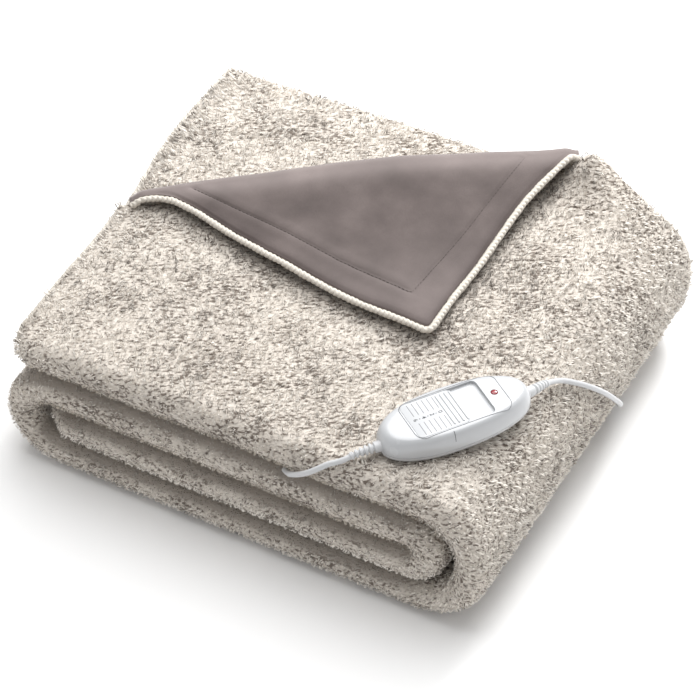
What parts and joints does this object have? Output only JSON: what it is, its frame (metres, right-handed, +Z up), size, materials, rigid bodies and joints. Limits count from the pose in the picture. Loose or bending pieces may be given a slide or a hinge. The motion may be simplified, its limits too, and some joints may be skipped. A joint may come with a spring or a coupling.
{
  "type": "electric heated blanket",
  "caption": "Folded plush heated blanket with a corner turned back to its lining, an overcast edging and a corded hand control with a sliding heat switch.",
  "frame": {"origin": "middle of the footprint of the folded blanket with its hand control, on the floor; the free mains lead is left out", "axes": "+X along the front edge to the right, +Y to the back, +Z up"},
  "size_m": [0.4953, 0.5346, 0.1759],
  "materials": {
    "plush": "short curly pile, cream tips over taupe",
    "lining": "smooth velour",
    "binding": "overcast stitching",
    "shell_plastic": "smooth white",
    "slider_plastic": "smooth white",
    "red_lens": "polished red",
    "cord_sheath": "satin white",
    "tie": "satin",
    "pin_metal": "polished"
  },
  "bodies": {
    "blanket_set": {"blanket": "plush", "lining_corner": "lining", "edging": "binding", "handset_base": "shell_plastic", "handset_cover": "shell_plastic", "indicator_lens": "red_lens", "relief_blanket_side": "shell_plastic", "relief_mains_side": "shell_plastic", "blanket_lead": "cord_sheath", "mains_lead": "cord_sheath", "mains_coil": "cord_sheath", "mains_tail": "cord_sheath", "coil_tie": "tie", "plug_body": "shell_plastic", "plug_pin_left": "pin_metal", "plug_pin_right": "pin_metal"},
    "switch": {"heat_slider": "slider_plastic"}
  },
  "joints": [
    {"name": "heat_slide", "type": "slide", "parent": "blanket_set", "child": "switch", "axis": [0.5736, 0.8192, 0], "range_m": [0, 0.023]}
  ]
}
